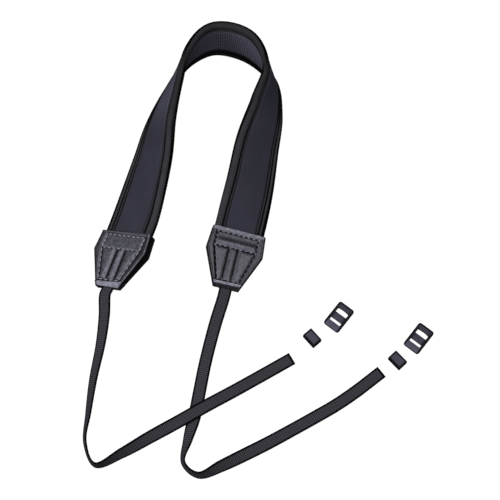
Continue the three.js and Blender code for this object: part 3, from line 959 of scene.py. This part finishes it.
def keeper_loop():
    width, length, height = KEEPER_SIZE
    piece = new_block("keeper_loop", KEEPER_SIZE)
    pick(piece, lambda face: abs(face.normal.y) > 0.9)
    bpy.ops.mesh.inset(thickness=KEEPER_WALL * MM, use_individual=True)
    bpy.ops.mesh.bridge_edge_loops()
    pick(piece, lambda face: face.normal.z > 0.9 and face.calc_center_median().z > (height - 0.1) * MM)
    bpy.ops.mesh.inset(thickness=RIM_WIDTH * MM)
    bpy.ops.mesh.inset(thickness=RIM_FADE * MM)
    bpy.ops.object.mode_set(mode="OBJECT")
    soften_edges(piece, KEEPER_SOFT)

    # Painted shade on the walls, the rim and inside the loop, and a painted highlight on the upper lip of its
    # near end
    def tone(x, y, z):
        inside = np.minimum(width / 2 - np.abs(x), length / 2 - y) > RIM_WIDTH + RIM_FADE / 2
        lip = (y < 0.65 - length / 2) & (z > height - 0.35) & (np.abs(x) < width / 2 - 0.8)
        field_tone = np.where(inside & (z > height - 0.05), 1.0, PAINTED_SHADE_TONE)
        return np.where(lip, KEEPER_LIP_HIGHLIGHT, field_tone)

    moulded_tone(piece, tone)
    shade(piece, 40)
    return piece


def round_corners(piece, height):
    """Rounds the four upright corners of a plain block in edit mode."""
    bpy.ops.mesh.select_all(action="DESELECT")
    bpy.ops.mesh.select_mode(type="EDGE")
    mesh = bmesh.from_edit_mesh(piece.data)
    for edge in mesh.edges:
        first, second = edge.verts
        edge.select_set(abs(first.co.z - second.co.z) > 0.5 * height * MM)
    bmesh.update_edit_mesh(piece.data)
    bpy.ops.mesh.bevel(offset=SLIDER_CORNER * MM, segments=CORNER_SEGMENTS, affect="EDGES")
    bpy.ops.mesh.select_mode(type="FACE")


def move_points(piece, moved):
    """Moves the points of a piece in edit mode, by a function of their place in millimetres."""
    mesh = bmesh.from_edit_mesh(piece.data)
    for vertex in mesh.verts:
        vertex.co += Vector(moved(*(vertex.co / MM))) * MM
    bmesh.update_edit_mesh(piece.data)


def slide_buckle():
    width, length, height = SLIDER_SIZE
    piece = new_block("slide_buckle", SLIDER_SIZE)
    bar = (NEAR_SLOT[1] + BAR_MARGIN, FAR_SLOT[0] - BAR_MARGIN)
    rim = (width / 2 - RIM_WIDTH, length / 2 - RIM_WIDTH)
    field = (rim[0] - RIM_FADE, rim[1] - RIM_FADE)
    round_corners(piece, height)
    cut_through(0, np.linspace(-SLOT_HALF, SLOT_HALF, SLOT_CUTS))
    cut_through(1, [*NEAR_SLOT, *FAR_SLOT])

    def between(face, near, far):
        x, y, z = face.calc_center_median() / MM
        return abs(x) < SLOT_HALF and near < y < far

    for slot in (NEAR_SLOT, FAR_SLOT):
        pick(piece, lambda face: between(face, *slot) and abs(face.normal.z) > 0.9)
        bpy.ops.mesh.bridge_edge_loops()

    def arched(x, y, z):
        on_line = abs(y - FAR_SLOT[1]) < 0.01 and abs(x) < SLOT_HALF
        return (0, SLOT_ARCH * (1 - (x / SLOT_HALF) ** 2) if on_line else 0, 0)

    move_points(piece, arched)
    bpy.ops.object.mode_set(mode="OBJECT")
    soften_edges(piece, SLIDER_SOFT)

    bpy.ops.object.mode_set(mode="EDIT")
    ridges = np.linspace(*bar, 2 * BAR_RIDGES + 1)
    cut_through(0, [-rim[0], -field[0], field[0], rim[0]])
    cut_through(1, [*ridges, field[1], rim[1]])
    pick(piece, lambda face: between(face, *bar) and face.normal.z > 0.9)
    bpy.ops.mesh.extrude_region_move(TRANSFORM_OT_translate={"value": (0, 0, BAR_RISE * MM)})

    def ridged(x, y, z):
        crest = z > height + 0.1 and round((y - bar[0]) / (ridges[1] - ridges[0])) % 2 == 1
        return (0, 0, RIDGE_HEIGHT if crest else 0)

    move_points(piece, ridged)
    bpy.ops.object.mode_set(mode="OBJECT")

    # The top field is lighter towards the near end and darker on the strips beside the slots; walls, rims and
    # the insides of the slots have painted shade
    def tone(x, y, z):
        inside = (np.abs(x) < field[0] + 0.1) & (y < field[1] + 0.1) & (y > 0.3 - length / 2)
        rail = (np.abs(x) > SLOT_HALF - 0.5) & (y > NEAR_SLOT[0] - 0.3) & (y < FAR_SLOT[1] + 0.3)
        field_tone = np.where(rail, RAIL_TONE, 1.0 - 0.9 * y / length)
        return np.where(inside & (z > height - 0.05), field_tone, PAINTED_SHADE_TONE)

    moulded_tone(piece, tone)
    shade(piece, 40)
    return piece


def fitting(made, side, place, name):
    """A copy of a modelled fitting, with its own mesh, moved to its place on the surface."""
    x, y, heading = place
    piece = bpy.data.objects.new(f"{name}_{side}", made.data.copy())
    piece.data.name = piece.name
    bpy.context.scene.collection.objects.link(piece)
    spot = Vector((x, y, 0)) + Vector(LAYOUT_SHIFT)
    turn = Matrix.Rotation(math.radians(heading - 90), 4, "Z")
    piece.data.transform(Matrix.Translation(spot * MM) @ turn)
    return piece


# Materials

def finish_nodes(name, roughness):
    """A material with its node tree and its shader."""
    material = bpy.data.materials.new(name)
    material.use_nodes = True
    tree = material.node_tree
    shader = tree.nodes["Principled BSDF"]
    shader.inputs["Roughness"].default_value = roughness
    return material, tree, shader


def add_node(tree, kind, inputs, **settings):
    """A node whose inputs are given as values or as the sockets that feed them."""
    made = tree.nodes.new(kind)
    for key, value in settings.items():
        setattr(made, key, value)
    for key, value in inputs.items():
        if isinstance(value, bpy.types.NodeSocket):
            tree.links.new(value, made.inputs[key])
        else:
            made.inputs[key].default_value = value
    return made


def ramp(tree, source, stops):
    """A colour ramp between two stops of position and colour."""
    made = add_node(tree, "ShaderNodeValToRGB", {"Fac": source})
    for element, (position, colour) in zip(made.color_ramp.elements, stops):
        element.position = position
        element.color = (*colour, 1)
    return made.outputs["Color"]


def bump(tree, shader, height, strength, distance, under=None):
    inputs = {"Height": height, "Strength": strength, "Distance": distance * MM}
    if under is not None:
        inputs["Normal"] = under
    made = add_node(tree, "ShaderNodeBump", inputs)
    tree.links.new(made.outputs["Normal"], shader.inputs["Normal"])
    return made.outputs["Normal"]


def flat_map(tree):
    """The cloth's own flat coordinates, in metres along and across."""
    return add_node(tree, "ShaderNodeUVMap", {}, uv_map="flat").outputs["UV"]


def toned(tree, shader, colour):
    """Feeds the shader a colour scaled by the piece's tone, which holds painted light and shade as well as
    its colour.
    """
    tone = add_node(tree, "ShaderNodeAttribute", {}, attribute_name="tone").outputs["Fac"]
    scaled = add_node(tree, "ShaderNodeVectorMath", {0: colour, 1: tone}, operation="MULTIPLY")
    tree.links.new(scaled.outputs["Vector"], shader.inputs["Base Color"])


def object_map(tree):
    return add_node(tree, "ShaderNodeTexCoord", {}).outputs["Object"]


def noise(tree, where, size, detail=2.0):
    """Soft noise with spots of a size in millimetres."""
    inputs = {"Vector": where, "Scale": 1 / (size * MM), "Detail": detail}
    return add_node(tree, "ShaderNodeTexNoise", inputs).outputs["Fac"]


def cells(tree, where, size, randomness, **settings):
    """Cells of a size in millimetres, as a distance inside each."""
    inputs = {"Vector": where, "Scale": 1 / (size * MM), "Randomness": randomness}
    return add_node(tree, "ShaderNodeTexVoronoi", inputs, **settings).outputs["Distance"]


def ribs(tree, where, pitch, distortion, direction):
    """Even ribs at a pitch in millimetres."""
    inputs = {"Vector": where, "Scale": WAVE_PITCH / (pitch * MM), "Distortion": distortion}
    return add_node(tree, "ShaderNodeTexWave", inputs, bands_direction=direction).outputs["Fac"]


def sheen(shader, weight, roughness, tint):
    shader.inputs["Sheen Weight"].default_value = weight
    shader.inputs["Sheen Roughness"].default_value = roughness
    shader.inputs["Sheen Tint"].default_value = (*tint, 1)


def knit_cloth():
    material, tree, shader = finish_nodes("knit_cloth", 0.88)
    where = flat_map(tree)
    tone = noise(tree, where, 24, 3)
    colour = ramp(tree, tone, [(0.3, (0.029, 0.0285, 0.0375)), (0.7, (0.036, 0.0355, 0.0455))])
    toned(tree, shader, colour)
    shader.inputs["Specular IOR Level"].default_value = 0.04
    loops = cells(tree, where, 0.8, 0.35, voronoi_dimensions="2D")
    under = bump(tree, shader, loops, 0.35, 0.12)
    bump(tree, shader, noise(tree, where, 0.5), 0.25, 0.08, under)
    sheen(shader, 0.02, 0.5, (0.75, 0.75, 1.0))
    return material


def mesh_cloth():
    material, tree, shader = finish_nodes("mesh_cloth", 0.9)
    where = flat_map(tree)
    holes = cells(tree, where, 1.8, 0.1, voronoi_dimensions="2D")
    colour = ramp(tree, holes, [(0.15, (0.014, 0.014, 0.018)), (0.6, (0.092, 0.09, 0.115))])
    toned(tree, shader, colour)
    shader.inputs["Specular IOR Level"].default_value = 0.04
    under = bump(tree, shader, holes, 0.6, 0.35)
    bump(tree, shader, noise(tree, where, 0.4), 0.25, 0.06, under)
    sheen(shader, 0.02, 0.5, (0.75, 0.75, 1.0))
    return material


def ribbed_tape():
    material, tree, shader = finish_nodes("ribbed_tape", 0.85)
    where = flat_map(tree)
    tone = noise(tree, where, 9, 3)
    colour = ramp(tree, tone, [(0.3, (0.034, 0.034, 0.036)), (0.7, (0.045, 0.045, 0.047))])
    toned(tree, shader, colour)
    shader.inputs["Specular IOR Level"].default_value = 0.03
    under = bump(tree, shader, ribs(tree, where, 0.7, 0.4, "X"), 0.4, 0.1)
    bump(tree, shader, noise(tree, where, 0.35), 0.25, 0.06, under)
    return material


def woven_web():
    material, tree, shader = finish_nodes("woven_web", 0.8)
    where = flat_map(tree)
    weave = add_node(tree, "ShaderNodeAttribute", {}, attribute_name="weave").outputs["Fac"]
    colour = ramp(tree, weave, [(0.05, (0.0015, 0.0015, 0.002)), (0.85, (0.057, 0.0555, 0.0615))])
    tree.links.new(colour, shader.inputs["Base Color"])
    shader.inputs["Specular IOR Level"].default_value = 0.03
    under = bump(tree, shader, ribs(tree, where, 0.28, 1.5, "Y"), 0.3, 0.05)
    bump(tree, shader, noise(tree, where, 0.3), 0.2, 0.05, under)
    return material


def grained_leather():
    material, tree, shader = finish_nodes("grained_leather", 0.42)
    where = object_map(tree)
    pebbles = cells(tree, where, 0.8, 1.0, feature="DISTANCE_TO_EDGE")
    tone = noise(tree, where, 2.2, 3)
    colour = ramp(tree, tone, [(0.34, (0.044, 0.0435, 0.0505)), (0.66, (0.09, 0.089, 0.1025))])
    toned(tree, shader, colour)
    gloss_range = {"Value": noise(tree, where, 3), "To Min": 0.3, "To Max": 0.46}
    gloss = add_node(tree, "ShaderNodeMapRange", gloss_range)
    tree.links.new(gloss.outputs["Result"], shader.inputs["Roughness"])
    shader.inputs["Specular IOR Level"].default_value = 0.22
    grain = add_node(tree, "ShaderNodeMapRange", {"Value": pebbles, "From Max": 0.35})
    under = bump(tree, shader, grain.outputs["Result"], 0.3, 0.1)
    bump(tree, shader, noise(tree, where, 0.8, 4), 0.25, 0.12, under)
    return material


def sewing_thread(name, colour, gloss):
    material, tree, shader = finish_nodes(name, 0.55)
    where = object_map(tree)
    twist = ribs(tree, where, 0.35, 0.5, "DIAGONAL")
    dark = tuple(0.6 * value for value in colour)
    tree.links.new(ramp(tree, twist, [(0.1, dark), (0.8, colour)]), shader.inputs["Base Color"])
    bump(tree, shader, twist, 0.4, 0.06)
    shader.inputs["Specular IOR Level"].default_value = gloss
    sheen(shader, gloss, 0.4, (1, 1, 1))
    return material


def satin_plastic():
    material, tree, shader = finish_nodes("satin_plastic", 0.42)
    where = object_map(tree)
    tone = noise(tree, where, 4, 3)
    colour = ramp(tree, tone, [(0.3, (0.046, 0.0445, 0.059)), (0.7, (0.058, 0.056, 0.074))])
    toned(tree, shader, colour)
    shader.inputs["Specular IOR Level"].default_value = 0.05
    bump(tree, shader, noise(tree, where, 0.3, 3), 0.2, 0.04)
    return material


# The strap

def dress(piece, material, slot, *nodes):
    """Gives a piece its material, and lets it stand for nodes of the frame. The slot is not used."""
    piece.data.materials.clear()
    piece.data.materials.append(material)
    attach(piece, "root")
    if nodes:
        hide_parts(*nodes)
    return piece


camera = bpy.data.objects.new("photo_camera", bpy.data.cameras.new("photo_camera"))
bpy.context.scene.collection.objects.link(camera)
tilt = math.radians(CAMERA_ELEVATION)
back = Vector((0, -math.cos(tilt), math.sin(tilt)))
camera.location = (Vector(LAYOUT_SHIFT) + back * CAMERA_DISTANCE) * MM
camera.rotation_euler = (-back).to_track_quat("-Z", "Y").to_euler()
camera.data.lens = CAMERA_LENS
camera.data.sensor_width = 36
bpy.context.scene.camera = camera

web = woven_web()
for side in ("left", "right"):
    tail = dress(woven_tail(side), web, "webbing", f"web_{side}")
    route = tail_routes[side]
    level = np.zeros(CORD_POINTS)
    line = route.lay(np.linspace(0, route.length, CORD_POINTS), level, level) * MM
    exit_point = route.lay(np.array([float(TAIL_TUCK)]), np.zeros(1), np.zeros(1))[0] * MM

pad = dress(knit_face(), knit_cloth(), "knit", "neck_pad")
dress(mesh_lining(), mesh_cloth(), "lining", "pad_lining")
tape = ribbed_tape()
dress(edge_tape("edge_tape_raised", 1), tape, "tape", "binding_inner")
dress(edge_tape("edge_tape_low", -1), tape, "tape", "binding_outer")
black_thread = sewing_thread("black_thread", (0.008, 0.008, 0.01), 0.03)
# The left tab's thread is a lit copy of the black thread: its grey is a painted highlight
lit_thread = sewing_thread("lit_thread", (0.3, 0.295, 0.33), 0.2)
dress(tape_stitching(), black_thread, "tape")

leather = grained_leather()
for side, thread in (("left", lit_thread), ("right", black_thread)):
    dress(leather_tab(side), leather, "leather", f"tab_{side}")
    dress(tab_stitching(side), thread, "leather")

plastic = satin_plastic()
loop = keeper_loop()
buckle = slide_buckle()
for side in ("left", "right"):
    dress(fitting(loop, side, KEEPER_PLACES[side], "keeper_loop"), plastic, "moulded", f"keeper_{side}")
    dress(fitting(buckle, side, SLIDER_PLACES[side], "slide_buckle"), plastic, "moulded", f"slider_{side}")
bpy.data.objects.remove(loop)
bpy.data.objects.remove(buckle)

# Floor and light

bpy.ops.mesh.primitive_plane_add(size=6, location=(0, 0, FLOOR_LEVEL * MM))
floor = bpy.context.object
floor.name = "pale_floor"
floor_material, _, floor_shader = finish_nodes("pale_floor", 0.9)
floor_shader.inputs["Base Color"].default_value = (0.1, 0.1, 0.1, 1)
floor_shader.inputs["Specular IOR Level"].default_value = 0.0
floor_shader.inputs["Emission Color"].default_value = (1, 1, 1, 1)
floor_shader.inputs["Emission Strength"].default_value = FLOOR_GLOW
floor.data.materials.append(floor_material)
floor.visible_diffuse = False
floor.visible_glossy = False

world = bpy.data.worlds.new("studio")
world.use_nodes = True
background = world.node_tree.nodes["Background"]
background.inputs["Color"].default_value = (*WORLD_COLOUR, 1)
background.inputs["Strength"].default_value = WORLD_STRENGTH
bpy.context.scene.world = world


def softbox(name, place, size, watts):
    light = bpy.data.lights.new(name, "AREA")
    light.shape = "RECTANGLE"
    light.size, light.size_y = size
    light.energy = watts
    light.color = LAMP_COLOUR
    lamp = bpy.data.objects.new(name, light)
    bpy.context.scene.collection.objects.link(lamp)
    lamp.location = place
    lamp.rotation_euler = (-Vector(place)).to_track_quat("-Z", "Y").to_euler()


softbox("overhead_softbox", (0.1, -0.15, 1.35), (0.9, 0.9), 19)
softbox("left_softbox", (-1.15, -0.25, 0.6), (0.6, 0.6), 9)

bpy.context.scene.view_settings.view_transform = "Standard"
